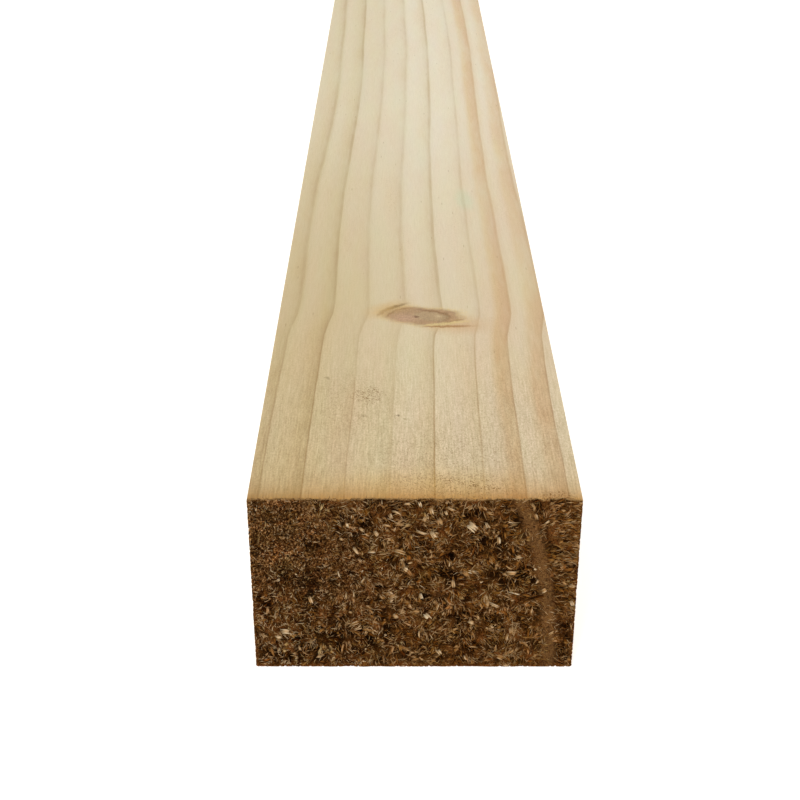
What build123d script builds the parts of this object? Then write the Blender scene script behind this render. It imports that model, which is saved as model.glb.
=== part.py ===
from build123d import *

import os

# A plank of sawn softwood, one solid piece, lying on its wide face. Millimetres.
# The length runs along Y, centred on the origin, and the base is at z = 0.
plank_width = 75.0  # across the wide face, along X
plank_thickness = 47.0  # height as it lies, along Z
plank_length = 1800.0  # a stock length of this section, between the two cross cuts
arris_radius = 0.6  # the four long corners, which the saw leaves almost sharp

os.makedirs("parts", exist_ok=True)

# The section rests on z = 0 and is centred across the width.
with BuildPart() as timber_plank:
    with BuildSketch(Plane.XZ) as section:
        with Locations((0, plank_thickness / 2)):
            Rectangle(plank_width, plank_thickness)
        fillet(section.vertices(), radius=arris_radius)
    extrude(amount=plank_length / 2, both=True)

timber_plank.part.label = "timber_plank"
export_step(timber_plank.part, "parts/timber_plank.step")
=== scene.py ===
import math

import bmesh
import bpy
import numpy as np
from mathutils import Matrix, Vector, kdtree, noise


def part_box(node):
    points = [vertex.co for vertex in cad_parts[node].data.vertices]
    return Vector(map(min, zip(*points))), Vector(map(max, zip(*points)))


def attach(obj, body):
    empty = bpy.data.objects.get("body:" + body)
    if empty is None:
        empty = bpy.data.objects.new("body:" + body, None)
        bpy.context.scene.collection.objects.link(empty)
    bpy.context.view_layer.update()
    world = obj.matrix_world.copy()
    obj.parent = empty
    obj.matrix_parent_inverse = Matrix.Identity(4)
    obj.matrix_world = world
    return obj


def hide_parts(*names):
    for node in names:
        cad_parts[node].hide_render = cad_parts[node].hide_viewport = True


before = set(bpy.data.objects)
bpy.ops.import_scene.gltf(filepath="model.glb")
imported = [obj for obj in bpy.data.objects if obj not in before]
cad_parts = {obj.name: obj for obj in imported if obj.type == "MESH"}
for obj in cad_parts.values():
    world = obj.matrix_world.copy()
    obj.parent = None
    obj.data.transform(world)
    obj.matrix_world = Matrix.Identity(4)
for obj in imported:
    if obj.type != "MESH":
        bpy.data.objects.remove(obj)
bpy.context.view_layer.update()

mm = 0.001
low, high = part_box("timber_plank")
width, length, height = ((high - low) / mm)[:]

# The growth rings stand round a pith outside the plank: where it lies, in mm from the left
# face and the bottom, and the radius of each hard dark line, seen on the top face.
growth = {
    "pith": (-40.0, 5.0),
    "lines": (33.0, 42.0, 51.0, 59.8, 67.2, 75.0, 83.6, 92.5, 102.2, 110.7, 119.6, 128.1),
    "innermost": 25.0,
    "outermost": 135.0,
    # how far the lines drift to the right along the plank: (mm from the front end, mm)
    "driftLeft": ((0, 0), (84, 0.9), (108, 3.0), (167, 2.9), (241, 4.6), (315, 6.3), (430, 5.4),
                  (500, 4.2), (530, 1.8), (760, -1.0), (900, -2.2), (950, 0.6), (1150, 2.4),
                  (1310, 4.6), (1345, 3.9), (1560, 1.2), (1700, 0.8), (1800, 0)),
    "driftRight": ((0, 0), (84, 1.0), (108, 3.3), (167, 2.6), (241, 1.8), (315, 2.6), (430, 3.8),
                   (500, 3.2), (530, 0.4), (760, -2.2), (900, -1.6), (950, 1.2), (1150, 3.6),
                   (1310, 5.2), (1345, 4.9), (1560, 2.6), (1700, 1.6), (1800, 0)),
    "driftSpan": 20.0,  # mm, from the least drift that the curves can hold to the greatest
    "sway": 3.0,  # mm, the slow wander of the grain besides
    "swayLength": (40, 130, 40),  # mm across, along and up
}

# Branches that the plank was cut through, each a cone from the pith: degrees above the
# level, mm from the front end, radius in mm, how far it leans along, its width as a share of
# its length, and how far the rings swell round it, in radii.
branches = (
    (27.5, 96.8, 4.5, -0.18, 0.8, 0.15), (8.5, 508.0, 6.5, 0.25, 0.9, 0.6),
    (36.0, 522.0, 3.6, 0.2, 0.9, 0.6), (20.5, 934.0, 5.2, 0.3, 0.85, 0.6),
    (-3.0, 921.0, 4.4, 0.2, 0.9, 0.6), (31.0, 1330.0, 6.0, 0.22, 0.85, 0.6),
    (13.5, 1688.0, 5.6, 0.3, 0.9, 0.6),
)
knotShape = {
    "topAt": 90.0,  # mm from the pith, where a branch has the radius given for it
    "rootRadius": 0.5,  # share of that radius at the pith itself
    "swellReach": 2.1,  # in branch radii
    "raggedScale": 0.16,  # patches to the mm in a knot's uneven outline
    "ragged": 4.5,  # mm that the outline wanders
}


def toLinear(hexColour):
    parts = [int(hexColour[i:i + 2], 16) / 255 for i in (1, 3, 5)]
    return [p / 12.92 if p <= 0.04045 else ((p + 0.055) / 1.055) ** 2.4 for p in parts] + [1]


# Adds a node, sets or links its inputs by name or number, and gives a ramp or curve its stops.
def addNode(tree, kind, inputs=None, stops=None, **settings):
    node = tree.nodes.new(kind if kind.startswith("NodeGroup") else "ShaderNode" + kind)
    for name, value in settings.items():
        setattr(node, name, value)
    live = [socket for socket in node.inputs if socket.enabled]
    for key, value in (inputs or {}).items():
        socket = live[key] if isinstance(key, int) else next(s for s in live if s.name == key)
        if isinstance(value, bpy.types.Node):
            value = next(s for s in value.outputs if s.enabled)
        if isinstance(value, bpy.types.NodeSocket):
            tree.links.new(value, socket)
        else:
            socket.default_value = toLinear(value) if isinstance(value, str) else value
    if stops and kind == "ValToRGB":
        marks = node.color_ramp.elements
        marks.remove(marks[-1])
        for i, (place, colour) in enumerate(stops):
            mark = marks[0] if i == 0 else marks.new(place)
            mark.position = place
            mark.color = toLinear(colour)
    elif stops:
        points = node.mapping.curves[0].points
        points[0].location = stops[0]
        points[-1].location = stops[-1]
        for place in stops[1:-1]:
            points.new(*place)
        node.mapping.update()
    return node


def makeGroup(name, ins, outs):
    tree = bpy.data.node_groups.new(name, "ShaderNodeTree")
    for socket, kind in ins.items():
        tree.interface.new_socket(socket, in_out="INPUT", socket_type="NodeSocket" + kind)
    for socket in outs:
        tree.interface.new_socket(socket, in_out="OUTPUT", socket_type="NodeSocketFloat")
    return tree


# A place on the plank in mm: from the left face, from the front end and from the bottom.
def placeInMm(tree):
    return addNode(tree, "Mapping", {
        "Vector": addNode(tree, "TexCoord").outputs["Object"],
        "Location": (width / 2, length / 2, 0), "Scale": (1 / mm,) * 3})


# One branch: how near a point is to it, in branch radii, and how far it pushes the rings out.
def makeBranchGroup():
    tree = makeGroup("branchCone", {
        "Place": "Vector", "Aim": "Vector", "Across": "Vector", "Along": "Float",
        "Radius": "Float", "Lean": "Float", "Flat": "Float", "Swell": "Float"}, ("Reach", "Push"))
    given = tree.nodes.new("NodeGroupInput").outputs
    out, across = (addNode(tree, "VectorMath", {0: given["Place"], 1: given[way]},
                           operation="DOT_PRODUCT").outputs["Value"] for way in ("Aim", "Across"))
    along = addNode(tree, "SeparateXYZ", {0: given["Place"]}).outputs["Y"]
    beyond = addNode(tree, "Math", {0: out, 1: knotShape["topAt"]}, operation="SUBTRACT")
    middle = addNode(tree, "Math", {0: beyond, 1: given["Lean"], 2: given["Along"]},
                     operation="MULTIPLY_ADD")
    offset = addNode(tree, "Math", {0: along, 1: middle}, operation="SUBTRACT")
    offset = addNode(tree, "Math", {0: offset, 1: given["Flat"]}, operation="MULTIPLY")
    root = knotShape["rootRadius"]
    grown = addNode(tree, "Math", {0: out, 1: (1 - root) / knotShape["topAt"], 2: root},
                    operation="MULTIPLY_ADD")
    radius = addNode(tree, "Math", {0: grown, 1: given["Radius"]}, operation="MULTIPLY")
    side = addNode(tree, "CombineXYZ", {"X": across, "Y": offset})
    far = addNode(tree, "VectorMath", {0: side}, operation="LENGTH").outputs["Value"]
    reach = addNode(tree, "Math", {0: far, 1: radius}, operation="DIVIDE")
    spread = addNode(tree, "Math", {0: reach, 1: knotShape["swellReach"]}, operation="DIVIDE")
    squared = addNode(tree, "Math", {0: spread, 1: 2.0}, operation="POWER")
    fall = addNode(tree, "Math", {0: squared, 1: -1.0}, operation="MULTIPLY")
    bell = addNode(tree, "Math", {0: fall}, operation="EXPONENT")
    swell = addNode(tree, "Math", {0: radius, 1: given["Swell"]}, operation="MULTIPLY")
    push = addNode(tree, "Math", {0: bell, 1: swell}, operation="MULTIPLY")
    addNode(tree, "NodeGroupOutput", {"Reach": reach, "Push": push})
    return tree


# The whole figure of the wood in three dimensions, so that every face agrees with the next.
def makeFigureGroup(branchTree):
    tree = makeGroup("woodFigure", {}, ("Phase", "Ring", "Radius", "Knot", "To End"))
    inMm = placeInMm(tree)
    parts = addNode(tree, "SeparateXYZ", {0: inMm}).outputs
    across, along = parts["X"], parts["Y"]
    span = growth["driftSpan"]
    share = addNode(tree, "Math", {0: along, 1: 1 / length}, operation="MULTIPLY")
    left, right = (addNode(tree, "FloatCurve", {"Value": share}, stops=[
        (where / length, 0.5 + shift / span) for where, shift in growth[side]])
        for side in ("driftLeft", "driftRight"))
    sideways = addNode(tree, "Math", {0: across, 1: 1 / width}, operation="MULTIPLY")
    drift = addNode(tree, "Mix", {"Factor": sideways, "A": left, "B": right})
    drift = addNode(tree, "Math", {0: drift, 1: -span, 2: span / 2}, operation="MULTIPLY_ADD")
    slow = addNode(tree, "Mapping", {
        "Vector": inMm, "Scale": [1 / size for size in growth["swayLength"]]})
    sway = addNode(tree, "TexNoise", {"Vector": slow, "Scale": 1.0, "Detail": 3.0})
    sway = addNode(tree, "Math", {0: sway.outputs[0], 1: growth["sway"], 2: -growth["sway"] / 2},
                   operation="MULTIPLY_ADD")
    shift = addNode(tree, "Math", {0: drift, 1: sway}, operation="ADD")
    shift = addNode(tree, "CombineXYZ", {"X": shift})
    ragged = addNode(tree, "TexNoise", {
        "Vector": inMm, "Scale": knotShape["raggedScale"], "Detail": 3.0})
    ragged = addNode(tree, "VectorMath", {0: ragged.outputs["Color"], 1: (0.5,) * 3},
                     operation="SUBTRACT")
    ragged = addNode(tree, "VectorMath", {0: ragged, "Scale": knotShape["ragged"]},
                     operation="SCALE")
    pith = (growth["pith"][0], 0, growth["pith"][1])
    ringPlace, knotPlace = (addNode(tree, "VectorMath", {
        0: addNode(tree, "VectorMath", {0: inMm, 1: moved}, operation="ADD"), 1: pith},
        operation="SUBTRACT") for moved in (shift, ragged))

    nearest, push = 99.0, 0.0
    for degrees, *shape in branches:
        aim = math.radians(degrees)
        cone = addNode(tree, "Group", node_tree=branchTree)
        ways = ((math.cos(aim), 0, math.sin(aim)), (math.sin(aim), 0, -math.cos(aim)))
        for name, value in zip(("Aim", "Across", "Along", "Radius", "Lean", "Flat", "Swell"),
                               (*ways, *shape)):
            cone.inputs[name].default_value = value
        tree.links.new(knotPlace.outputs[0], cone.inputs["Place"])
        nearest = addNode(tree, "Math", {0: cone.outputs["Reach"], 1: nearest},
                          operation="MINIMUM")
        push = addNode(tree, "Math", {0: cone.outputs["Push"], 1: push}, operation="ADD")

    level = addNode(tree, "VectorMath", {0: ringPlace, 1: (1, 0, 1)}, operation="MULTIPLY")
    radius = addNode(tree, "VectorMath", {0: level}, operation="LENGTH").outputs["Value"]
    radius = addNode(tree, "Math", {0: radius, 1: push}, operation="SUBTRACT")
    inner, outer = growth["innermost"], growth["outermost"]
    count = len(growth["lines"])
    stops = [((line - inner) / (outer - inner), (i + 1) / (count + 1))
             for i, line in enumerate(growth["lines"])]
    scaled = addNode(tree, "MapRange", {"Value": radius, "From Min": inner, "From Max": outer})
    number = addNode(tree, "FloatCurve", {"Value": scaled}, stops=[(0, 0), *stops, (1, 1)])
    number = addNode(tree, "Math", {0: number, 1: count + 1.0}, operation="MULTIPLY")
    phase, ring = (addNode(tree, "Math", {0: number}, operation=part)
                   for part in ("FRACT", "FLOOR"))
    back = addNode(tree, "Math", {0: length, 1: along}, operation="SUBTRACT")
    toEnd = addNode(tree, "Math", {0: along, 1: back}, operation="MINIMUM")
    addNode(tree, "NodeGroupOutput", {
        "Phase": phase, "Ring": ring, "Radius": radius, "Knot": nearest, "To End": toEnd})
    return tree


def newMaterial(name):
    material = bpy.data.materials.new(name)
    material.use_nodes = True
    material.node_tree.nodes.clear()
    return material, material.node_tree


# Sawn pine, dry and untreated: wide pale rings that darken a little towards one thin line each,
# some with an orange band before it, and a matt surface with fine lengthwise fibres.
sawnPine = {
    "early": "#D6CBB1",
    # across one ring, from the pith's side outwards, and the same where weathering blurred it
    "late": ((0.0, "#D6CBB1"), (0.35, "#D5CAAF"), (0.7, "#D0C3A4"), (0.88, "#C7B998"),
             (0.96, "#C3B492"), (1.0, "#D0C5AA")),
    "lateSoft": ((0.0, "#CBBF9F"), (0.07, "#D2C8AD"), (0.16, "#D6CBB1"), (0.35, "#D5CAAF"),
                 (0.7, "#D0C4A5"), (0.86, "#C8BA9A"), (0.94, "#C4B595"), (1.0, "#C8BB9B")),
    "bands": ((0.0, "#D5C9B1"), (0.36, "#D5C8AF"), (0.5, "#D0BE9F"), (0.62, "#C9AE88"),
              (0.9, "#C7AD88"), (0.97, "#C0A784"), (1.0, "#CFC0A5")),
    "bandsSoft": ((0.0, "#D0BF9F"), (0.2, "#D4C6AA"), (0.36, "#D3C4A8"), (0.55, "#CEB993"),
                  (0.75, "#CAB18C"), (0.94, "#C7AD89"), (1.0, "#CDB997")),
    # the line that ends a ring: crisp near the ends, blurred by weathering further in
    "crispLine": ((0.0, 0.0), (0.945, 0.0), (0.968, 1.0), (0.982, 0.7), (1.0, 0.0)),
    "softLine": ((0.0, 0.0), (0.86, 0.0), (0.95, 0.35), (0.97, 0.35), (1.0, 0.1)),
    # how much each ring darkens before its line, from the pith outwards, and how dark that is
    "shade": (0.8, 0.8, 0.9, 0.8, 1.0, 0.5, 0.6, 0.75, 0.45, 0.5, 0.5, 0.6, 0.6),
    "dark": (0.8, 0.8, 0.8, 0.6, 0.8, 0.5, 0.4, 1.0, 0.6, 0.5, 0.65, 0.6, 0.6),
    "line": "#D6C8B0",
    "inner": "#F0EBDC",
    # a tint towards both ends: partly yellowing, partly painted shade
    "nearEndsYellowAndShade": "#EDE3D1",
    "gold": "#CDB47A",
    "knot": ((0.0, "#76523C"), (0.07, "#A68468"), (0.45, "#B29474"), (0.8, "#AA8A66"),
             (0.95, "#957350"), (1.0, "#A98A5E")),
    "speck": "#7E602F",
    "endStain": "#D8B478",
    "endStainReach": 5.6,  # mm
    "split": "#4A2E18",
    "sawMark": 1.7,  # mm of feed from one to the next
    # each noise: patches to the mm across, along and up, its detail, roughness and distortion
    "noises": {
        "broad": ((1 / 7, 1 / 45, 1 / 7), 3.0, 0.6, 0.0),  # mottling
        "fine": ((2.4, 0.14, 2.4), 3.0, 0.65, 0.0),  # fibres
        "grit": ((2.6, 1.3, 2.6), 2.0, 0.75, 0.0),
        "wave": ((0.5, 0.35, 0.5), 4.0, 0.75, 0.0),  # the spots' uneven outlines
        "pore": ((2.8, 1.8, 2.8), 2.0, 0.7, 0.8),
        "split": ((2.2, 0.0, 2.2), 2.0, 0.5, 0.0),
    },
    # each fade: what it follows (mm, knot radii or a noise), from where to where, and the
    # strength at each of the two
    "fades": {
        "furtherIn": ("To End", 40.0, 120.0, 0.0, 1.0),
        "patchy": ("broad", 0.3, 0.6, 0.45, 1.0),
        "outer": ("Radius", 101.5, 104.0, 0.0, 1.0),  # the rings with an orange band
        "fainter": ("Radius", 110.7, 113.5, 1.0, 0.8),
        "inner": ("Radius", 66.0, 88.0, 1.0, 0.0),  # yellower wood towards the pith
        "greyer": ("To End", 120.0, 270.0, 1.0, 0.7),
        "coarser": ("To End", 8.0, 110.0, 1.25, 0.2),
        "nearEndsYellowAndShade": ("To End", 20.0, 290.0, 1.0, 0.0),  # both ends yellower and darker: partly yellowing, partly painted shade
        "inKnot": ("Knot", 0.8, 1.25, 1.0, 0.0),
        "gold": ("Knot", 1.0, 1.6, 0.8, 0.0),  # resin here and there beside a knot
        "someGold": ("grit", 0.4, 0.6, 0.0, 1.0),
        "pore": ("pore", 0.5, 0.34, 0.0, 0.75),
        "crowd": ("broad", 0.5, 0.75, 0.0, 0.3),
        "uneven": ("grit", 0.3, 0.7, 0.8, 1.15),
        "split": ("split", 0.6, 0.82, 0.0, 3.0),
        "rough": ("fine", 0.3, 0.7, 0.78, 0.64),
    },
    "smoothFades": ("coarser", "gold"),
    "mottle": ((0.12, 0.1, 0.15), (0.945, 0.945, 0.925)),  # in hue, with the broad noise
    "speckle": (0.62, 0.7, 0.9),  # how much more it changes blue than red
    "wander": (3.6, 2.6, 0),  # mm that a spot's outline wanders across and along
}

# Spots on the top face, painted in this order, seen from the torn end: place and radii in mm,
# degrees turned, colour, strength, and how soft the outline is.
spots = (
    # golden wood along the torn end, and lone dark specks
    ((41.0, 3.0), (21, 8), 0, "#C9A559", 0.42, 0.8),
    ((33.5, 38.5), (0.5, 0.6), 0, "#5E4C2C", 0.8, 0.6),
    ((25.4, 38.5), (0.7, 0.5), 0, "#8C7A52", 0.6, 0.6),
    ((15.4, 58.8), (0.5, 0.6), 0, "#84724A", 0.6, 0.6),
    ((35.4, 37.0), (0.5, 0.4), 0, "#94825A", 0.6, 0.6),
    # green stain beyond the knot
    ((55.8, 190.8), (2.6, 9), 4, "#B5C3A0", 0.4, 0.6),
    # warm wood round the knot, then the dark rim, which shows only at its upper right
    ((50.4, 91), (7.0, 5.0), 0, "#BE9B70", 0.65, 0.8),
    ((31.3, 101), (5.8, 4.0), 38, "#C1A069", 0.75, 0.8),
    ((40.3, 97.1), (8.8, 4.8), -12, "#8A6B47", 0.45, 0.5),
    ((39.9, 96.4), (8.3, 4.2), -11, "#9F825C", 1.0, 0.6),
    ((35.8, 95.6), (4.0, 2.6), 5, "#B8957A", 0.55, 0.9),
    ((43.6, 99.7), (4.2, 0.5), -20, "#6E5236", 0.5, 0.7),
    # rings inside the knot
    ((43.9, 97.1), (4.8, 3.3), -22, "#82643F", 0.8, 0.2),
    ((43, 96.6), (4.5, 3.0), -22, "#A38A65", 1.0, 0.25),
    ((45.2, 96.6), (0.9, 1.0), 0, "#BEA67E", 0.5, 0.6),
    ((39.1, 96.3), (0.8, 0.6), 0, "#6A4A32", 0.8, 0.6),
    # gold and brown streaks under its right end
    ((46.9, 91.9), (6.2, 0.9), 14, "#C9B27A", 0.8, 0.5),
    ((47.1, 90), (6.6, 0.7), 1, "#936A38", 0.75, 0.6),
    ((49.4, 93.7), (3.2, 0.45), 24, "#94774A", 0.6, 0.6),
    # feathered brown streaks at its upper left
    ((33.8, 103.7), (2.6, 0.7), 35, "#776036", 0.75, 0.8),
    ((31.2, 101.9), (2.8, 0.7), 44, "#9A7A42", 0.6, 0.8),
    ((28.9, 98.6), (1.9, 0.5), 62, "#9A7A48", 0.5, 0.7),
    ((31.6, 98.4), (2.4, 0.5), 58, "#8A6A40", 0.6, 0.7),
    ((35.6, 101.9), (2.4, 0.4), 12, "#8A6C40", 0.55, 0.7),
)

# where fine dark pores and specks crowd on the top face: place, radii, degrees, strength
poreZones = (
    ((45.9, 6.1), (16, 7), -3, 1.0), ((50.6, 6.2), (8, 1.0), -21, 2.4),
    ((45.9, 17.9), (18, 14), 0, 0.7), ((26.2, 49.2), (4.0, 4.5), 0, 1.7),
    ((22.0, 44.0), (12, 16), 0, 0.5), ((69.4, 1.5), (3.6, 1.8), 0, 2.4),
    ((59.8, 29.7), (14, 30), 0, 0.45),
)
poreZoneSoft = 0.6
# resin canals, some 2.5 by 18 mm apart: to the mm, and their radius and soft edge in gaps
canals = {"scale": (0.4, 0.055, 0.4), "radius": 0.03, "edge": 0.08, "strength": 0.4}


# How far inside a flat ellipse of the top face a place is: the strength at its middle, 0 outside.
def insideEllipse(tree, place, at, size, turn, strength, soft):
    local = addNode(tree, "Mapping", {
        "Vector": place, "Location": (*at, height), "Rotation": (0, 0, math.radians(turn)),
        "Scale": (*size, 4)}, vector_type="TEXTURE")
    far = addNode(tree, "VectorMath", {0: local}, operation="LENGTH").outputs["Value"]
    return addNode(tree, "MapRange", {
        "Value": far, "From Min": 1 - soft, "From Max": 1 + soft, "To Min": strength,
        "To Max": 0.0}, interpolation_type="SMOOTHSTEP")


def makeSawnPine(figure):
    material, tree = newMaterial("sawnPine")
    inMm = placeInMm(tree)
    grain = addNode(tree, "Group", node_tree=figure).outputs
    noises = {}
    for name, (scale, detail, roughness, distortion) in sawnPine["noises"].items():
        scaled = addNode(tree, "Mapping", {"Vector": inMm, "Scale": scale})
        noises[name] = addNode(tree, "TexNoise", {
            "Vector": scaled, "Scale": 1.0, "Detail": detail, "Roughness": roughness,
            "Distortion": distortion})
    fine, grit, wave = (noises[name].outputs[0] for name in ("fine", "grit", "wave"))
    fades = {}
    for name, (follows, begin, end, first, last) in sawnPine["fades"].items():
        follows = noises[follows].outputs[0] if follows in noises else grain[follows]
        smooth = "SMOOTHSTEP" if name in sawnPine["smoothFades"] else "LINEAR"
        fades[name] = addNode(tree, "MapRange", {
            "Value": follows, "From Min": begin, "From Max": end, "To Min": first,
            "To Max": last}, interpolation_type=smooth)

    # the colours across a ring, and how strongly each ring has them
    ramps = {name: addNode(tree, "ValToRGB", {0: grain["Phase"]}, stops=sawnPine[name])
             for name in ("late", "lateSoft", "bands", "bandsSoft")}
    late, bands = (addNode(tree, "Mix", {
        "Factor": fades["furtherIn"], "A": ramps[name], "B": ramps[name + "Soft"]},
        data_type="RGBA") for name in ("late", "bands"))
    crisp, soft = (addNode(tree, "FloatCurve", {"Value": grain["Phase"]}, stops=sawnPine[name])
                   for name in ("crispLine", "softLine"))
    line = addNode(tree, "Mix", {"Factor": fades["furtherIn"], "A": crisp, "B": soft})
    rings = len(sawnPine["shade"]) - 1
    which = addNode(tree, "Math", {0: grain["Ring"], 1: 1 / rings}, operation="MULTIPLY")
    shade, dark = (addNode(tree, "FloatCurve", {"Value": which}, stops=[
        (i / rings, strength) for i, strength in enumerate(sawnPine[name])])
        for name in ("shade", "dark"))
    strengths = {}
    for name, factors in (
            ("late", (shade, fades["patchy"])), ("line", (line, dark, fades["patchy"])),
            ("bands", (fades["outer"], fades["patchy"], fades["fainter"])),
            ("inner", (fades["inner"], fades["greyer"])),
            ("gold", (fades["gold"], fades["someGold"]))):
        strengths[name] = factors[0]
        for factor in factors[1:]:
            strengths[name] = addNode(tree, "Math", {0: strengths[name], 1: factor},
                                      operation="MULTIPLY")

    # mottling, and a speckle of fibres and grit that is stronger towards the ends
    mottle = addNode(tree, "VectorMath", {
        0: noises["broad"].outputs["Color"], 1: sawnPine["mottle"][0],
        2: sawnPine["mottle"][1]}, operation="MULTIPLY_ADD")
    speckle = addNode(tree, "Math", {0: grit, 1: fine}, operation="ADD")
    speckle = addNode(tree, "Math", {0: speckle, 1: 1.0}, operation="SUBTRACT")
    speckle = addNode(tree, "Math", {0: speckle, 1: fades["coarser"]}, operation="MULTIPLY")
    speckle = addNode(tree, "VectorMath", {0: speckle, 1: sawnPine["speckle"], 2: (1, 1, 1)},
                      operation="MULTIPLY_ADD")
    texture = addNode(tree, "VectorMath", {0: mottle, 1: speckle}, operation="MULTIPLY")
    knotRings = addNode(tree, "ValToRGB", {0: grain["Knot"]}, stops=sawnPine["knot"])
    blotch = addNode(tree, "Math", {0: wave, 1: grit}, operation="ADD")
    blotch = addNode(tree, "Math", {0: blotch, 1: 0.55, 2: 0.45}, operation="MULTIPLY_ADD")

    # pores crowd in their zones, and lone resin canals lie anywhere
    wander = sawnPine["wander"]
    waved = addNode(tree, "VectorMath", {
        0: noises["wave"].outputs["Color"], 1: wander, 2: [-most / 2 for most in wander]},
        operation="MULTIPLY_ADD")
    waved = addNode(tree, "VectorMath", {0: inMm, 1: waved}, operation="ADD")
    crowd = fades["crowd"]
    for zone in poreZones:
        inside = insideEllipse(tree, waved, *zone, poreZoneSoft)
        crowd = addNode(tree, "Math", {0: crowd, 1: inside}, operation="MAXIMUM")
    pore = addNode(tree, "Math", {0: fades["pore"], 1: crowd}, operation="MULTIPLY",
                   use_clamp=True)
    canal = addNode(tree, "Mapping", {"Vector": inMm, "Scale": canals["scale"]})
    canal = addNode(tree, "TexVoronoi", {"Vector": canal, "Scale": 1.0}).outputs["Distance"]
    canal = addNode(tree, "MapRange", {
        "Value": canal, "From Min": canals["radius"], "From Max": canals["edge"],
        "To Min": canals["strength"], "To Max": 0.0})
    specks = addNode(tree, "Math", {0: pore, 1: canal}, operation="MAXIMUM")

    # each end is brown for some 5 mm, with short splits that run in from its edge
    fall = addNode(tree, "Math", {0: grain["To End"], 1: -1 / sawnPine["endStainReach"]},
                   operation="MULTIPLY")
    fall = addNode(tree, "Math", {0: fall}, operation="EXPONENT")
    stain = addNode(tree, "Math", {0: fall, 1: fades["uneven"]}, operation="MULTIPLY",
                    use_clamp=True)
    split = addNode(tree, "Math", {0: fades["split"], 1: grain["To End"]}, operation="SUBTRACT")
    split = addNode(tree, "MapRange", {"Value": split, "From Max": 0.5, "To Max": 0.8})

    # the layers of colour, from the first to the last: strength, colour, and how it is laid on
    layers = [
        (strengths["late"], late, "MIX"), (strengths["bands"], bands, "MIX"),
        (strengths["line"], sawnPine["line"], "MULTIPLY"),
        (strengths["inner"], sawnPine["inner"], "MULTIPLY"),
        # both ends tinted yellower and darker, partly as painted shade
        (fades["nearEndsYellowAndShade"], sawnPine["nearEndsYellowAndShade"], "MULTIPLY"),
        (strengths["gold"], sawnPine["gold"], "MIX"), (fades["inKnot"], knotRings, "MIX")]
    for at, size, turn, tint, strength, softness in spots:
        inside = insideEllipse(tree, waved, at, size, turn, strength, softness)
        layers.append((inside, tint, "MIX"))
    layers += [
        (1.0, texture, "MULTIPLY"), (fades["inKnot"], blotch, "MULTIPLY"),
        (specks, sawnPine["speck"], "MIX"), (stain, sawnPine["endStain"], "MULTIPLY"),
        (split, sawnPine["split"], "MIX")]
    colour = sawnPine["early"]
    for strength, over, way in layers:
        colour = addNode(tree, "Mix", {"Factor": strength, "A": colour, "B": over},
                         data_type="RGBA", blend_type=way)

    # a wave texture has some 3.2 bands to the unit at a scale of 1
    saw = addNode(tree, "TexWave", {
        "Vector": inMm, "Scale": 1 / sawnPine["sawMark"] / 3.2, "Distortion": 2.5,
        "Detail": 2.0, "Detail Scale": 0.4}, bands_direction="Y")
    relief = addNode(tree, "Math", {0: fine, 1: grit}, operation="ADD")
    relief = addNode(tree, "Math", {0: saw.outputs["Fac"], 1: 0.16, 2: relief},
                     operation="MULTIPLY_ADD")
    bump = addNode(tree, "Bump", {"Strength": 0.4, "Distance": 0.0002, "Height": relief})
    shader = addNode(tree, "BsdfPrincipled", {
        "Base Color": colour, "Roughness": fades["rough"], "Normal": bump, "IOR": 1.5,
        "Specular IOR Level": 0.25})
    addNode(tree, "OutputMaterial", {"Surface": shader})
    return material


# Torn end grain of the same pine: open, dark and dead matt. Its brown deepens with the torn
# depth, partly its own tone and partly painted shade in the hollows, and painted light and
# shade lie over its fuzz. The hard late wood stays smoother and greyer.
tornEnd = {
    # by the torn depth: the end grain's own brown, with painted shade that darkens the hollows
    "depth": ((0.0, "#704926"), (0.25, "#5C3917"), (0.45, "#40260A"), (0.7, "#241202"),
              (1.0, "#120700")),
    # where it tore finely, the cut fibres show singly as dark and pale grit
    "grit": ((0.38, "#130700"), (0.45, "#472B12"), (0.52, "#7C552D"), (0.59, "#B88E60"),
             (0.66, "#E4BE90")),
    # rust here and grey green mould there, over the whole depth
    "hue": ((0.3, "#FFE0BE"), (0.45, "#FFF0DE"), (0.56, "#F2EAD6"), (0.7, "#D4CFB4")),
    "late": "#6B4B2A",
    "lateStrength": 0.75,
    "rim": "#B08A58",  # the sawn face's own wood shows along the edge
    # each noise: patches to the mm, its roughness and distortion
    "noises": {"grit": (2.0, 0.7, 0.6), "hue": (0.3, 0.5, 0.0), "fuzz": (1.7, 0.8, 1.6)},
}


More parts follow.
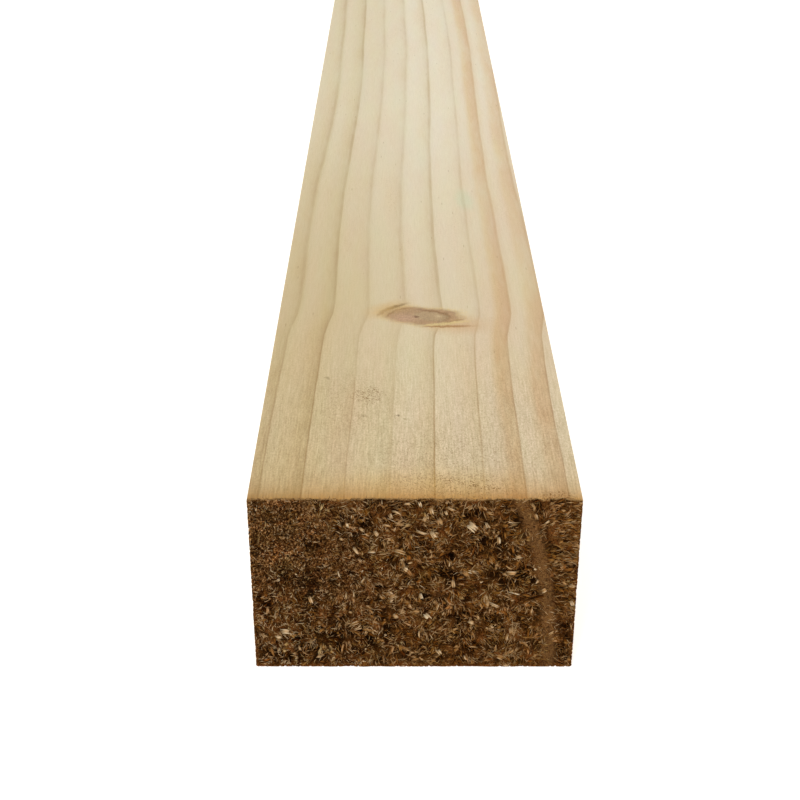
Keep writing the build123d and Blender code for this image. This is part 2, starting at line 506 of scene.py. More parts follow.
def makeTornEnd():
    material, tree = newMaterial("tornEndGrain")
    inMm = placeInMm(tree)
    depth, fine, late, rim = (addNode(tree, "Attribute", attribute_name=name).outputs["Fac"]
                              for name in ("tornDepth", "fineness", "hardness", "rim"))
    grit, hue, fuzz = (addNode(tree, "TexNoise", {
        "Vector": inMm, "Scale": scale, "Detail": 3.0, "Roughness": roughness,
        "Distortion": distortion}).outputs[0]
        for scale, roughness, distortion in tornEnd["noises"].values())
    # the depth ramp is partly the wood's own brown and partly painted shade in the hollows
    depthToneAndShade, grit, hue = (addNode(tree, "ValToRGB", {0: source}, stops=tornEnd[name])
                       for name, source in (("depth", depth), ("grit", grit), ("hue", hue)))
    # grit shows only where it tore shallow, so the painted shade of the hollows stays dark; lit is
    # painted light and shade over the same fuzz as the bump
    shallow, lit, ragged = (addNode(tree, "MapRange", {
        "Value": source, "From Min": begin, "From Max": end, "To Min": first, "To Max": last})
        for source, begin, end, first, last in (
            (depth, 0.35, 0.75, 1.0, 0.2), (fuzz, 0.36, 0.64, 0.25, 1.9),
            (fuzz, 0.4, 0.52, 0.1, 1.1)))
    fine = addNode(tree, "Math", {0: fine, 1: 0.75, 2: 0.15}, operation="MULTIPLY_ADD")
    fine = addNode(tree, "Math", {0: fine, 1: shallow}, operation="MULTIPLY")
    late = addNode(tree, "Math", {0: late, 1: tornEnd["lateStrength"]}, operation="MULTIPLY")
    rim = addNode(tree, "Math", {0: rim, 1: ragged}, operation="MULTIPLY", use_clamp=True)
    colour = depthToneAndShade
    for strength, over, way in ((fine, grit, "MIX"), (1.0, hue, "MULTIPLY"),
                                (late, tornEnd["late"], "MIX"), (1.0, lit, "MULTIPLY"),
                                (rim, tornEnd["rim"], "MIX")):
        colour = addNode(tree, "Mix", {"Factor": strength, "A": colour, "B": over},
                         data_type="RGBA", blend_type=way)
    bump = addNode(tree, "Bump", {"Strength": 1.0, "Distance": 0.0007, "Height": fuzz})
    shader = addNode(tree, "BsdfPrincipled", {
        "Base Color": colour, "Roughness": 0.95, "Normal": bump, "IOR": 1.5,
        "Specular IOR Level": 0.02})
    addNode(tree, "OutputMaterial", {"Surface": shader})
    return material


# Loose fibres and shavings of the torn wood, dry and matt: each takes its tone from one side
# of its map to the other, with painted shade towards its root, where it stands among the rest.
shavingTones = ((0.0, "#2C1200"), (0.14, "#552F0A"), (0.26, "#784A19"), (0.38, "#8E5D2A"),
                (0.48, "#8C6431"), (0.58, "#A07546"), (0.68, "#AF8858"), (0.78, "#BF9E73"),
                (0.88, "#D2B58C"), (1.0, "#E6D1AB"))
# the same tones as they are, weathered to olive, stained rust and gone grey, side by side
shavingHues = ("#FFFFFF", "#E9E4CC", "#FAE9DA", "#E6E1DA")


def makeShavingMaterial():
    material, tree = newMaterial("tornFibre")
    onPiece = addNode(tree, "UVMap", uv_map="OFBake")
    parts = addNode(tree, "SeparateXYZ", {0: onPiece}).outputs
    tone = addNode(tree, "ValToRGB", {0: parts["X"]}, stops=shavingTones)
    last = len(shavingHues) - 1
    bands = addNode(tree, "Math", {0: parts["Y"], 1: last + 1.0}, operation="MULTIPLY")
    band, along = (addNode(tree, "Math", {0: bands}, operation=part)
                   for part in ("FLOOR", "FRACT"))
    band = addNode(tree, "Math", {0: band, 1: 1 / last}, operation="MULTIPLY")
    hue = addNode(tree, "ValToRGB", {0: band}, stops=[
        (i / last, colour) for i, colour in enumerate(shavingHues)])
    # painted shade: each shaving is darkened towards its root
    root = addNode(tree, "MapRange", {
        "Value": along, "From Min": 0.0, "From Max": 0.6, "To Min": 0.3, "To Max": 1.0})
    colour = tone
    for over in (hue, root):
        colour = addNode(tree, "Mix", {"Factor": 1.0, "A": colour, "B": over},
                         data_type="RGBA", blend_type="MULTIPLY")
    shader = addNode(tree, "BsdfPrincipled", {
        "Base Color": colour, "Roughness": 0.9, "IOR": 1.5, "Specular IOR Level": 0.03})
    addNode(tree, "OutputMaterial", {"Surface": shader})
    return material


# The two sawn ends are rough: the blade tore the fibres instead of cutting them.
torn = {
    "seeds": (11, 37),  # the front end's and the back end's
    "tries": 14000,
    "apart": (0.8, 0.85),  # mm between tufts where it tore finely, and how much more elsewhere
    "apartVary": (0.8, 1.25),
    "cell": 0.3,  # mm, side of the small faces
    "arris": 0.6,  # mm, the eased long corners
    "rows": (0.35, 0.8, 1.5, 2.6),  # mm from each end to the rings of edges behind it
    "shallow": 0.25,  # mm behind the saw's plane
    "deep": 2.3,
    "usual": 0.95,
    "grain": 0.22,  # mm, how far neighbouring points stand apart where it tore finely
    "fuzz": 0.28,
    "crack": 0.55,  # mm, width of the cracks between tufts
    "rim": 1.3,  # mm, a strip along the edges that is torn less deeply
    "rimShare": (0.08, 0.3),  # of that depth, along the lower edge and along the others
    "nick": 0.4,  # mm, how far the rim is broken down
    "nickReach": 1.2,
    "bites": ((1.6, 0.6, 30), (0.6, 4, 34)),  # strength, mm across, and number of the noise
    "biteFrom": 0.1,
    # where the wood differs, in mm from the pith, across or up: each pair is where that
    # begins and where it is complete
    "hardRing": 109.3,
    "besideHardRing": (2.4, 0.9),
    "fainterRing": 66.4,
    "besideFainterRing": (1.2, 0.2),
    "fainterRingAbove": (30, 36),
    "hardDepth": 0.55,
    "hardShare": 0.8,  # how nearly the hard wood keeps to that depth
    "fineWithin": (76, 62),
    "fineAbove": (12, 32),
    "combedRightOf": (64, 69),
    "combedAbove": (10, 18),
    "contrastLeftOf": (42, 12),
    # where it is torn deepest, and where pale fibres stand up: across, up and reach in mm
    "pits": ((7.2, 25.3, 2.2), (13.3, 25.3, 1.8), (14.4, 33.7, 2.0), (19.4, 8.7, 2.0),
             (27.2, 7.0, 2.0), (33.3, 11.4, 1.8), (42.2, 5.9, 2.2), (47.2, 9.2, 1.8),
             (57.2, 13.7, 1.6), (57.8, 9.2, 1.6), (52.2, 35.3, 2.0), (46.7, 25.9, 1.8),
             (40.0, 33.1, 1.8), (62.8, 24.8, 1.6), (26.7, 39.8, 1.8), (21.0, 26.4, 1.6),
             (31.0, 15.3, 1.6), (1.4, 33.1, 1.8), (3.4, 18.0, 1.8), (6.0, 3.4, 1.8)),
    "crests": ((31.7, 35.3, 2.0), (42.0, 36.6, 1.8), (30.0, 27.0, 1.8), (54.7, 19.5, 2.2),
               (63.9, 23.0, 2.0), (7.2, 8.5, 2.2), (60.6, 9.8, 2.0), (57.0, 2.5, 1.8),
               (41.0, 43.6, 1.8), (48.9, 27.0, 1.6), (20.0, 20.0, 2.0)),
}


# From 0 where something begins to 1 where it is complete.
def slope(value, begins, complete):
    return np.clip((value - begins) / (complete - begins), 0, 1)


# Smooth noise over an end, in patches of the size given in mm.
def patches(x, z, size, number):
    return np.array([noise.noise(Vector((a / size, b / size, number))) for a, b in zip(x, z)])


def fromPith(x, z):
    return np.hypot(x - growth["pith"][0], z - growth["pith"][1])


# 1 on the hard late wood that tears least, 0 elsewhere: the band of one outer ring stands out
def hardness(x, z):
    radius = fromPith(x, z)
    outer = slope(np.abs(radius - torn["hardRing"]), *torn["besideHardRing"])
    inner = slope(np.abs(radius - torn["fainterRing"]), *torn["besideFainterRing"])
    return np.maximum(outer, 0.5 * inner * slope(z, *torn["fainterRingAbove"]))


# 1 where the end is torn into coarse tufts, 0 in the finer part near the pith's side
def coarseness(x, z):
    return 1 - slope(fromPith(x, z), *torn["fineWithin"]) * slope(z, *torn["fineAbove"])


# The tufts that the saw left on an end: where each stands, how deep it is torn, and which way
# its fibres lean. They stand closer together where the wood tore finely.
def makeTufts(seed):
    chance = np.random.default_rng(seed)
    tries = chance.uniform((0, 0), (width, height), (torn["tries"], 2))
    least, more = torn["apart"]
    apart = least + more * coarseness(tries[:, 0], tries[:, 1])
    apart *= chance.uniform(*torn["apartVary"], len(tries))
    places, gaps = np.empty((0, 2)), []
    for place, gap in zip(tries, apart):
        if not len(places) or np.min(np.hypot(*(places - place).T)) > gap:
            places = np.vstack([places, place])
            gaps.append(gap)
    x, z = places.T
    count = len(x)
    broad = np.array([noise.fractal(Vector((a / 9, b / 9, seed)), 1.0, 2.0, 3) for a, b in places])
    combed = slope(x, *torn["combedRightOf"]) * slope(z, *torn["combedAbove"])
    coarse = coarseness(x, z)
    depth = torn["usual"] + 0.5 * broad + (0.3 + 0.7 * coarse) * chance.normal(0, 0.42, count)
    pit, crest = (sum(np.exp(-((x - a) ** 2 + (z - b) ** 2) / reach ** 2)
                      for a, b, reach in torn[kind]) for kind in ("pits", "crests"))
    depth += 0.9 * pit - 0.3 * crest
    leftmost = slope(x, *torn["contrastLeftOf"])
    swirl = 7 * patches(x, z, 8, seed + 20)
    return {
        "seed": seed, "x": x, "z": z, "gap": np.array(gaps), "coarse": coarse,
        "combed": combed, "depth": np.clip(depth, torn["shallow"], torn["deep"]),
        "aim": (swirl + chance.normal(0, 0.8, count)) * (1 - combed) + 0.1,
        # its tone varies at random, with painted shade: darker where it is torn deeper and in the
        # pits, paler on the crests where pale fibres stand up
        "tone": (chance.normal(0, 0.1, count) * (1 + 0.8 * leftmost)
                 - 0.14 * (depth - torn["usual"]) + 0.16 * crest - 0.3 * pit * leftmost),
        "hue": patches(x, z, 5, seed + 8),
        "rise": np.clip(chance.normal(0.2, 0.22, count), 0.0, 0.8),
    }


# mm from the saw's plane down to the torn surface, at places of an end
def tornDepth(x, z, tufts):
    seed = tufts["seed"]
    tree = kdtree.KDTree(len(tufts["x"]))
    for i, place in enumerate(zip(tufts["x"], tufts["z"])):
        tree.insert((*place, 0), i)
    tree.balance()
    depth, crack = np.empty(len(x)), np.empty(len(x))
    for i, place in enumerate(zip(x, z)):
        which, far = zip(*(found[1:] for found in tree.find_n((*place, 0), 3)))
        weights = [1 / (distance + 0.05) ** 4 for distance in far]
        depth[i] = sum(w * tufts["depth"][n] for w, n in zip(weights, which)) / sum(weights)
        crack[i] = max(1 - (far[1] - far[0]) / torn["crack"], 0)
    depth += 0.5 * crack * patches(x, z, 3, seed + 3) + 0.15
    depth += torn["fuzz"] * patches(x, z, 0.5, seed + 16)
    grit = np.random.default_rng(seed).normal(0, torn["grain"], len(x))
    depth += grit * (1 - 0.5 * coarseness(x, z))
    hard = torn["hardShare"] * hardness(x, z)
    depth = depth * (1 - hard) + hard * torn["hardDepth"]
    toEdge = np.minimum(np.minimum(x, width - x), np.minimum(z, height - z))
    inside = np.clip(toEdge / torn["rim"], 0, 1)
    atRim = torn["shallow"] + np.where(z < torn["rim"], *torn["rimShare"]) * depth
    depth = depth * inside + atRim * (1 - inside)
    return np.clip(depth, torn["shallow"], torn["deep"])


# Opens the piece just added for shaping, at its size and with all of it selected.
def startShaping(name, size=(1, 1, 1)):
    piece = bpy.context.object
    piece.name = name
    piece.scale = size
    bpy.ops.object.transform_apply(location=True, rotation=True, scale=True)
    bpy.ops.object.mode_set(mode="EDIT")
    bpy.ops.mesh.select_all(action="SELECT")
    return piece


# Selects the vertices or edges that pass a test, and nothing else.
def pick(piece, kind, test):
    bpy.ops.mesh.select_all(action="DESELECT")
    bpy.ops.mesh.select_mode(type=kind)
    form = bmesh.from_edit_mesh(piece.data)
    for part in form.verts if kind == "VERT" else form.edges:
        part.select_set(test(part))
    bmesh.update_edit_mesh(piece.data)


def makePlank(materials):
    bpy.ops.object.select_all(action="DESELECT")
    bpy.ops.mesh.primitive_grid_add(
        x_subdivisions=round(width / torn["cell"]), y_subdivisions=round(height / torn["cell"]),
        size=1, location=((low.x + high.x) / 2, low.y, (low.z + high.z) / 2),
        rotation=(math.radians(90), 0, 0))
    piece = startShaping("sawnPlank", (width * mm, height * mm, 1))
    bpy.ops.mesh.duplicate_move(TRANSFORM_OT_translate={"value": (0, length * mm, 0)})
    bpy.ops.mesh.flip_normals()
    pick(piece, "EDGE", lambda edge: edge.is_boundary and edge.verts[0].co.y < 0)
    stations = [0, *torn["rows"], length / 2, *[length - row for row in reversed(torn["rows"])]]
    for here, there in zip(stations, stations[1:]):
        bpy.ops.mesh.extrude_edges_move(
            TRANSFORM_OT_translate={"value": (0, (there - here) * mm, 0)})
    bpy.ops.mesh.select_all(action="DESELECT")
    bpy.ops.mesh.select_non_manifold(extend=False, use_wire=False, use_multi_face=False,
                                     use_non_contiguous=False, use_verts=False)
    bpy.ops.mesh.bridge_edge_loops()
    bpy.ops.mesh.select_all(action="SELECT")
    bpy.ops.mesh.normals_make_consistent(inside=False)
    bpy.ops.object.mode_set(mode="OBJECT")
    for material in materials:
        piece.data.materials.append(material)
    return piece


# Where the plank's faces lie on its colour map, in parts of the map. The four long faces are
# unrolled into strips, one for each half of the length, and the two ends lie above them.
layout = {"margin": 0.004, "strip": (0.5, 0.74), "end": (0.4, 0.245)}


def layOutMap(piece):
    mesh = piece.data
    layer = mesh.uv_layers.new(name="OFBake")
    margin = layout["margin"]
    stripWide, stripHigh = (side - 2 * margin for side in layout["strip"])
    endWide, endHigh = (side - 2 * margin for side in layout["end"])
    girth = 2 * (width + height)
    for face in mesh.polygons:
        atBack = face.center.y > 0
        for loop in face.loop_indices:
            x, y, z = mesh.vertices[mesh.loops[loop].vertex_index].co / mm
            x, y = x + width / 2, abs(y)
            if face.material_index == 1:
                u = atBack * 0.5 + margin + x / width * endWide
                v = layout["strip"][1] + margin + z / height * endHigh
            else:
                if abs(face.normal.z) > abs(face.normal.x):
                    along = x if face.normal.z > 0 else width + height + (width - x)
                elif face.normal.x > 0:
                    along = width + (height - z)
                else:
                    along = 2 * width + height + z
                u = atBack * 0.5 + margin + along / girth * stripWide
                v = margin + y / (length / 2) * stripHigh
            layer.data[loop].uv = (u, v)


# The four long corners are eased, then both ends are torn and their rims broken down.
def tearEnds(piece, tuftsOf):
    mesh = piece.data
    co = np.empty(len(mesh.vertices) * 3)
    mesh.vertices.foreach_get("co", co)
    co = co.reshape(-1, 3) / mm
    normals = np.empty(len(mesh.polygons) * 3)
    mesh.polygons.foreach_get("normal", normals)
    onEnd = np.abs(normals.reshape(-1, 3)[:, 1]) > 0.9
    mesh.polygons.foreach_set("material_index", onEnd.astype(np.int32))

    x = co[:, 0] - low.x / mm
    z = co[:, 2] - low.z / mm
    arris = torn["arris"]
    centreX = np.clip(x, arris, width - arris)
    centreZ = np.clip(z, arris, height - arris)
    dx, dz = x - centreX, z - centreZ
    inCorner = (dx != 0) & (dz != 0)
    scale = np.ones(len(x))
    scale[inCorner] = (np.maximum(abs(dx), abs(dz)) / np.hypot(dx, dz))[inCorner]
    x, z = centreX + dx * scale, centreZ + dz * scale

    atBack = co[:, 1] > 0
    inward = np.where(atBack, high.y / mm - co[:, 1], co[:, 1] - low.y / mm)
    ragged = torn["rows"][-1]
    depth, nick = np.zeros(len(x)), np.zeros(len(x))
    for back, tufts in enumerate(tuftsOf):
        near = np.nonzero((inward < ragged) & (atBack == back))[0]
        depth[near] = tornDepth(x[near], z[near], tufts)
        bite = sum(strength * patches(x[near], z[near], size, tufts["seed"] + number)
                   for strength, size, number in torn["bites"])
        nick[near] = torn["nick"] * np.clip(bite - torn["biteFrom"], 0, 1)
    fade = np.clip(1 - inward / ragged, 0, 1)
    for side, distance in ((0, x), (0, width - x), (1, z), (1, height - z)):
        step = nick * fade ** 2 * np.clip(1 - distance / torn["nickReach"], 0, 1)
        if side == 0:
            x = x + step * np.sign(width / 2 - x)
        else:
            z = z + step * np.sign(height / 2 - z)
    inward = inward + depth * fade
    co[:, 0] = x + low.x / mm
    co[:, 1] = np.where(atBack, high.y / mm - inward, low.y / mm + inward)
    co[:, 2] = z + low.z / mm
    mesh.vertices.foreach_set("co", (co * mm).ravel())
    for name, value in (("tornDepth", depth / torn["deep"]), ("hardness", hardness(x, z)),
                        ("fineness", 1 - coarseness(x, z)),
                        ("rim", slope(height - z, 0.85, 0.35))):
        layer = mesh.attributes.new(name, "FLOAT", "POINT")
        layer.data.foreach_set("value", value.astype(np.float32))
    mesh.update()
    bpy.ops.object.shade_smooth_by_angle(angle=math.radians(50))


# A sliver to copy: a thin three-sided spike of unit length, cut at its middle so it can bend.
def makeSliver():
    bpy.ops.object.select_all(action="DESELECT")
    bpy.ops.mesh.primitive_cone_add(vertices=3, radius1=0.5, radius2=0.0, depth=1.0,
                                    location=(0, 0, 0.5))
    piece = startShaping("sliver")
    bpy.ops.mesh.bisect(plane_co=(0, 0, 0.5), plane_no=(0, 0, 1))
    bpy.ops.transform.resize(value=(1.6, 1.6, 1), center_override=(0, 0, 0.5))
    bpy.ops.object.mode_set(mode="OBJECT")
    return piece


# A slip to copy: a strip of wood that narrows to a slanting tip, and bows a little on its way.
def makeSlip():
    bpy.ops.object.select_all(action="DESELECT")
    bpy.ops.mesh.primitive_cube_add(size=1, location=(0, 0, 0.5))
    piece = startShaping("slip")
    for level, wide, shift in ((0.35, 1.2, 0.1), (0.7, 0.85, -0.12)):
        bpy.ops.mesh.select_all(action="SELECT")
        bpy.ops.mesh.bisect(plane_co=(0, 0, level), plane_no=(0, 0, 1))
        bpy.ops.transform.resize(value=(wide, 1, 1))
        bpy.ops.transform.translate(value=(shift, 0, 0))
    pick(piece, "VERT", lambda vertex: vertex.co.z > 0.99)
    bpy.ops.transform.resize(value=(0.5, 0.5, 1))
    pick(piece, "VERT", lambda vertex: vertex.co.z > 0.99 and vertex.co.x > 0)
    bpy.ops.transform.translate(value=(0, 0, -0.14))
    bpy.ops.object.mode_set(mode="OBJECT")
    return piece


# Takes a modelled template's points and faces, and removes the template.
def takeForm(piece):
    points = np.array([v.co[:] for v in piece.data.vertices])
    faces = []
    for face in piece.data.polygons:
        corners = list(face.vertices)
        faces += [(corners[0], a, b) for a, b in zip(corners[1:], corners[2:])]
    bpy.data.objects.remove(piece)
    return points, np.array(faces)


# Copies a template once for each entry, rooted in a torn end, as one mesh. Lengths are in mm,
# angles in radians: aim lies in the end's plane, rise tips it out of the plane.
def plantShavings(name, form, parts, atBack, material):
    points, faces = form
    count = len(parts["x"])
    column = {key: np.asarray(value, float)[:, None] for key, value in parts.items()}
    aim, rise, roll = column["aim"], column["rise"], column["roll"]
    forward = np.hstack([np.cos(aim) * np.cos(rise), np.sin(aim) * np.cos(rise), np.sin(rise)])
    side = np.hstack([-np.sin(aim), np.cos(aim), np.zeros((count, 1))])
    flat = np.cross(forward, side)
    side, flat = (side * np.cos(roll) + flat * np.sin(roll),
                  flat * np.cos(roll) - side * np.sin(roll))
    root = np.hstack([column["x"], column["z"], -column["depth"]])
    run = points[:, 2][None, :, None]
    bend = column["curl"] * side + column["lift"] * np.array([[0, 0, 1.0]])
    place = run * forward[:, None, :] + run ** 2 * bend[:, None, :]
    place = root[:, None, :] + column["length"][:, :, None] * place
    for axis, size, way in ((0, "width", side), (1, "thick", flat)):
        place = place + column[size][:, :, None] * points[:, axis][None, :, None] * way[:, None, :]
    # none stands out past the plank's faces or the saw's plane
    margin = 0.03
    for axis, least, most in ((0, margin, width - margin), (1, margin, height - margin),
                              (2, -1e3, -margin)):
        values = place[:, :, axis]
        values += np.clip(least - values.min(axis=1, keepdims=True), 0, None)
        values -= np.clip(values.max(axis=1, keepdims=True) - most, 0, None)
    place = place.reshape(-1, 3)
    co = np.empty((len(place), 3))
    co[:, 0] = place[:, 0] + low.x / mm
    co[:, 1] = high.y / mm + place[:, 2] if atBack else low.y / mm - place[:, 2]
    co[:, 2] = place[:, 1] + low.z / mm
    turned = faces[:, ::-1] if atBack else faces
    corners = (turned[None] + (np.arange(count) * len(points))[:, None, None]).reshape(-1)
    mesh = bpy.data.meshes.new(name)
    mesh.vertices.add(len(co))
    mesh.vertices.foreach_set("co", (co * mm).ravel())
    mesh.loops.add(len(corners))
    mesh.loops.foreach_set("vertex_index", corners.astype(np.int32))
    mesh.polygons.add(len(corners) // 3)
    mesh.polygons.foreach_set("loop_start", np.arange(0, len(corners), 3, dtype=np.int32))
    mesh.update(calc_edges=True)
    # its map is its tone across, and its hue and the way from root to tip up
    across = 0.02 + 0.96 * np.repeat(column["tone"], len(points))
    along = (column["hue"] + 0.05 + 0.9 * points[:, 2][None]).ravel() / len(shavingHues)
    layer = mesh.uv_layers.new(name="OFBake")
    layer.data.foreach_set("uv", np.stack([across, along], 1)[corners].ravel())
    mesh.materials.append(material)
    piece = bpy.data.objects.new(name, mesh)
    bpy.context.scene.collection.objects.link(piece)
    return piece


# Sizes in mm: the usual length, how much it varies, and the least and greatest width. Then
# how far they lie from their tufts, in gaps between these, how far they stray from the way
# these lean, the share that is bright, and the share that stays where it tore finely.
fibres = {"count": 19000, "length": 1.3, "vary": 0.4, "width": (0.14, 0.32), "spread": 0.5,
          "stray": 0.45, "bright": 0.04, "whereFine": 1.0}
flakes = {"count": 1500, "length": 1.6, "vary": 0.35, "width": (0.24, 0.62), "spread": 0.45,
          "stray": 0.35, "bright": 0.03, "whereFine": 0.1, "slips": 3}
shavings = {
    "inset": 0.2,  # mm from the edges to the nearest roots
    "belowTop": 0.6,
    "missingOnHard": 0.82,
    "lengths": (0.3, 3.4),
    "thickest": 0.22,
    "contrastLeftOf": (36, 6),
    "brightTones": (0.68, 0.92),
}


# Shares shavings out over the tufts of an end. Each takes its lean and its tone from its tuft.
def scatter(settings, tufts, seed):
    chance = np.random.default_rng(seed)
    share = tufts["gap"] ** 2
    which = chance.choice(len(share), settings["count"], p=share / share.sum())
    reach = tufts["gap"][which] * settings["spread"]
    x = tufts["x"][which] + chance.normal(0, 1, len(which)) * reach
    z = tufts["z"][which] + chance.normal(0, 1, len(which)) * reach
    inset = shavings["inset"]
    keep = (x > inset) & (x < width - inset) & (z > inset) & (z < height - shavings["belowTop"])
    keep &= chance.random(len(which)) > shavings["missingOnHard"] * hardness(x, z)
    keep &= chance.random(len(which)) < settings["whereFine"] + tufts["coarse"][which]
    x, z, which = x[keep], z[keep], which[keep]
    count = len(x)
    coarse, combed = tufts["coarse"][which], tufts["combed"][which]
    long = settings["length"] * np.exp(chance.normal(0, settings["vary"], count))
    long = np.clip(long * (0.55 + 0.45 * coarse), *shavings["lengths"]) * (1 + 0.1 * combed)
    broad = chance.uniform(*settings["width"], count)
    stray = settings["stray"] * (1 - 0.4 * combed)
    leftmost = slope(x, *shavings["contrastLeftOf"])
    spread = 0.42 - 0.13 * coarse - 0.06 * combed + 0.2 * leftmost
    # the tuft's tone brings its painted shade for depth along
    tone = 0.48 - 0.03 * leftmost + tufts["tone"][which] + chance.normal(0, 1, count) * spread
    tone = np.clip(tone, 0, 0.75 + 0.12 * leftmost)
    hue = tufts["hue"][which] * 1.6 + chance.normal(0, 0.25, count)
    hue = np.select([hue < -0.42, hue > 0.5, hue > 0.22], [1, 3, 2], 0)
    bright = chance.random(count) < settings["bright"] * (0.1 + 0.9 * coarse) * (1.6 - x / width)
    tone[bright] = chance.uniform(*shavings["brightTones"], bright.sum())
    rise = tufts["rise"][which] + chance.normal(0, 0.18, count)
    rise = np.clip(rise, -0.1, np.where(tone > 0.6, 0.3, 0.9))
    return {
        "x": x, "z": z, "depth": tornDepth(x, z, tufts) + 0.06,
        "aim": tufts["aim"][which] + chance.normal(0, 1, count) * stray,
        "rise": rise, "hue": hue,
        "roll": chance.normal(0, 0.5, count), "length": long, "width": broad,
        "thick": np.minimum(broad, shavings["thickest"]),
        "curl": chance.normal(0, 1, count) * (0.7 - 0.35 * coarse),
        "lift": chance.normal(0, 0.2, count), "tone": tone,
    }


# Splits each shaving into slips side by side, which end unevenly and differ a little in tone.
def splitLengthwise(parts, number, seed):
    chance = np.random.default_rng(seed)
    count = len(parts["x"]) * number
    split = {key: np.repeat(value, number) for key, value in parts.items()}
    step = (np.tile(np.arange(number), len(parts["x"])) - (number - 1) / 2) / number
    offset = step * split["width"]
    back = chance.uniform(0, 0.4, count) * split["length"]
    aim = split["aim"]
    split["x"] = split["x"] - np.sin(aim) * offset + np.cos(aim) * back * 0.5
    split["z"] = split["z"] + np.cos(aim) * offset + np.sin(aim) * back * 0.5
    split["length"] = split["length"] - back
    split["width"] = split["width"] * 1.15 / number
    for key, usual, spread in (("aim", 0, 0.07), ("roll", 0, 0.25), ("depth", 0, 0.05),
                               ("tone", -0.03, 0.09)):
        split[key] = split[key] + chance.normal(usual, spread, count)
    split["tone"] = np.clip(split["tone"], 0, 1)
    return split


# The pale chips that catch the eye, each split into slips.
chips = {
    "root": 0.5,  # mm behind the saw's plane
    "thick": 0.14,
    "slips": 5,
    "seed": 3,
    # where each is rooted, across and up, its length, width, degrees from level, and tone
    "laid": (
        ((49.4, 40.3), 3.0, 1.6, -35, 0.93), ((23.6, 34.0), 2.6, 0.8, -66, 0.8),
        ((26.8, 32.7), 2.1, 0.5, 2, 0.86), ((39.8, 15.4), 2.6, 1.1, -50, 0.96),
        ((53.8, 21.0), 2.2, 0.7, -70, 0.8), ((54.8, 18.6), 3.0, 0.6, -35, 0.85),
        ((60.8, 12.0), 4.6, 1.5, -92, 0.74), ((60.0, 11.5), 3.6, 0.8, -80, 0.83),
        ((41.0, 45.0), 2.6, 0.9, -85, 0.86), ((40.2, 42.5), 2.0, 0.7, -110, 0.8),
        ((59.0, 21.6), 3.2, 0.25, -12, 0.92), ((6.2, 10.2), 2.2, 1.2, 12, 0.9),
        ((56.4, 37.0), 2.6, 0.6, -80, 0.82), ((41.2, 38.5), 2.8, 1.0, -70, 0.78),
        ((42.6, 41.8), 2.2, 1.1, -60, 0.76), ((35.0, 28.2), 1.2, 0.9, -30, 0.85),
        ((48.6, 27.4), 1.8, 1.0, -45, 0.76), ((58.6, 26.8), 2.4, 0.9, 3, 0.74),
        ((20.0, 27.6), 2.2, 0.25, -85, 0.94), ((21.8, 21.6), 2.4, 0.35, -88, 0.86),
        ((23.4, 22.0), 2.0, 0.3, -80, 0.84), ((38.8, 21.2), 1.8, 0.6, -72, 0.9),
        ((32.6, 15.4), 1.8, 0.9, -60, 0.76), ((43.0, 5.0), 2.0, 0.9, -60, 0.85),
        ((73.6, 19.4), 2.4, 0.6, -68, 0.88), ((28.4, 38.4), 1.8, 0.7, -60, 0.82),
        ((13.2, 20.4), 2.4, 0.8, -75, 0.8), ((46.2, 25.0), 2.4, 0.8, -75, 0.74),
        ((53.6, 40.6), 1.8, 0.6, -78, 0.82), ((26.2, 25.6), 1.8, 0.3, -120, 0.86),
        ((22.4, 12.0), 2.6, 0.5, 25, 0.76), ((10.2, 6.2), 2.0, 0.4, -70, 0.8),
        ((50.2, 13.4), 1.6, 0.9, -40, 0.78), ((56.6, 3.2), 2.4, 1.0, -20, 0.74),
        ((66.8, 21.6), 1.4, 0.9, 20, 0.72), ((45.6, 30.2), 1.6, 0.3, -100, 0.84),
        ((38.9, 44.6), 1.6, 0.6, 95, 0.84), ((60.4, 30.8), 1.8, 0.5, 35, 0.8),
    ),
}


def layChips():
    places, long, broad, turn, tone = (np.array(column) for column in zip(*chips["laid"]))
    count = len(places)
    chance = np.random.default_rng(chips["seed"])
    return {
        "x": places[:, 0], "z": places[:, 1], "depth": np.full(count, chips["root"]),
        "aim": np.radians(turn), "rise": chance.uniform(0.0, 0.12, count),
        "roll": chance.normal(0, 0.25, count), "length": long, "width": broad,
        "thick": np.full(count, chips["thick"]), "curl": chance.normal(0, 0.12, count),
        "lift": chance.normal(-0.04, 0.04, count), "tone": tone, "hue": np.zeros(count),
    }


studio = {
    "floorSize": 60,  # m
    "floor": "#FCFBF9",
    "floorGlow": 0.3,
    # the walls round the table are bright near the floor and dimmer overhead
    "world": ((0.0, "#FFFFFF"), (0.25, "#FFFFFF"), (0.7, "#B0B2B6"), (1.0, "#9A9CA2")),
    # where each light comes from, how wide it looks in degrees, and its strength
    "lights": {"key": ((-0.5, -1.05, 1.3), 16, 1.0), "overhead": ((0.1, -0.3, 1.0), 75, 1.32)},
}


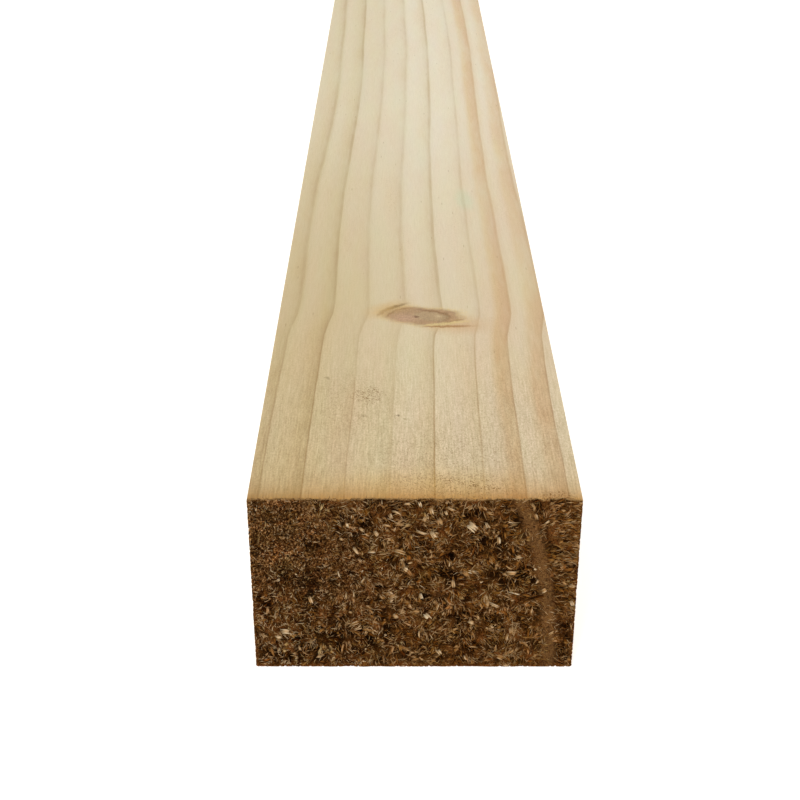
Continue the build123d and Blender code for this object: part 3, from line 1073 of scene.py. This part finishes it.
def makeStudio():
    scene = bpy.context.scene
    scene.view_settings.view_transform = "Standard"
    bpy.ops.object.select_all(action="DESELECT")
    bpy.ops.mesh.primitive_plane_add(size=studio["floorSize"], location=(0, 0, low.z))
    floor = bpy.context.object
    floor.name = "floor"
    material, tree = newMaterial("opalAcrylic")  # lit from beneath, so shadows on it stay pale
    shader = addNode(tree, "BsdfPrincipled", {
        "Base Color": studio["floor"], "Roughness": 0.9, "Specular IOR Level": 0.1,
        "Emission Color": studio["floor"], "Emission Strength": studio["floorGlow"]})
    addNode(tree, "OutputMaterial", {"Surface": shader})
    floor.data.materials.append(material)
    world = bpy.data.worlds.new("studioWorld")
    world.use_nodes = True
    walls = world.node_tree
    walls.nodes.clear()
    toward = addNode(walls, "TexCoord").outputs["Generated"]
    rise = addNode(walls, "SeparateXYZ", {0: toward}).outputs["Z"]
    shade = addNode(walls, "ValToRGB", {0: rise}, stops=studio["world"])
    glow = addNode(walls, "Background", {"Color": shade, "Strength": 1.0})
    addNode(walls, "OutputWorld", {"Surface": glow})
    scene.world = world
    for name, (place, spread, strength) in studio["lights"].items():
        bpy.ops.object.light_add(type="SUN", location=place)
        light = bpy.context.object
        light.name = name
        light.data.angle = math.radians(spread)
        light.data.energy = strength
        light.rotation_euler = (-Vector(place)).to_track_quat("-Z", "Y").to_euler()


# The photograph looks down on the torn end, straight along the plank.
camera = {
    "at": (-3.3, -271.0, 217.4),  # mm from the middle of that end's lower edge
    "pitch": 28.2,
    "lens": 64.7,
    "sensor": 36,
}


def makeCamera():
    x, y, z = camera["at"]
    bpy.ops.object.camera_add(location=(x * mm, low.y + y * mm, z * mm),
                              rotation=(math.radians(90 - camera["pitch"]), 0, 0))
    view = bpy.context.object
    view.data.lens = camera["lens"]
    view.data.sensor_width = camera["sensor"]
    view.data.clip_start = 0.01
    bpy.context.scene.camera = view


makeCamera()
makeStudio()
print("studio and camera made")

figure = makeFigureGroup(makeBranchGroup())
pine = makeSawnPine(figure)
endGrain = makeTornEnd()
shavingMaterial = makeShavingMaterial()
plankPiece = makePlank((pine, endGrain))
tuftsOf = [makeTufts(seed) for seed in torn["seeds"]]
tearEnds(plankPiece, tuftsOf)
layOutMap(plankPiece)
print("plank made:", len(plankPiece.data.polygons), "faces,", len(tuftsOf[0]["x"]), "tufts")

sliver = takeForm(makeSliver())
slip = takeForm(makeSlip())
pieces = [plankPiece]
for atBack, end in ((False, "front"), (True, "back")):
    tufts = tuftsOf[atBack]
    fibreParts = scatter(fibres, tufts, tufts["seed"] + 1)
    flakeParts = scatter(flakes, tufts, tufts["seed"] + 2)
    flakeParts = splitLengthwise(flakeParts, flakes["slips"], tufts["seed"])
    pieces.append(plantShavings(end + "EndFibres", sliver, fibreParts, atBack, shavingMaterial))
    pieces.append(plantShavings(end + "EndFlakes", slip, flakeParts, atBack, shavingMaterial))
chipParts = splitLengthwise(layChips(), chips["slips"], chips["seed"])
pieces.append(plantShavings("paleChips", slip, chipParts, False, shavingMaterial))
print("ends torn:", [len(piece.data.polygons) for piece in pieces])

for piece in pieces:
    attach(piece, "root")
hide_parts("timber_plank")
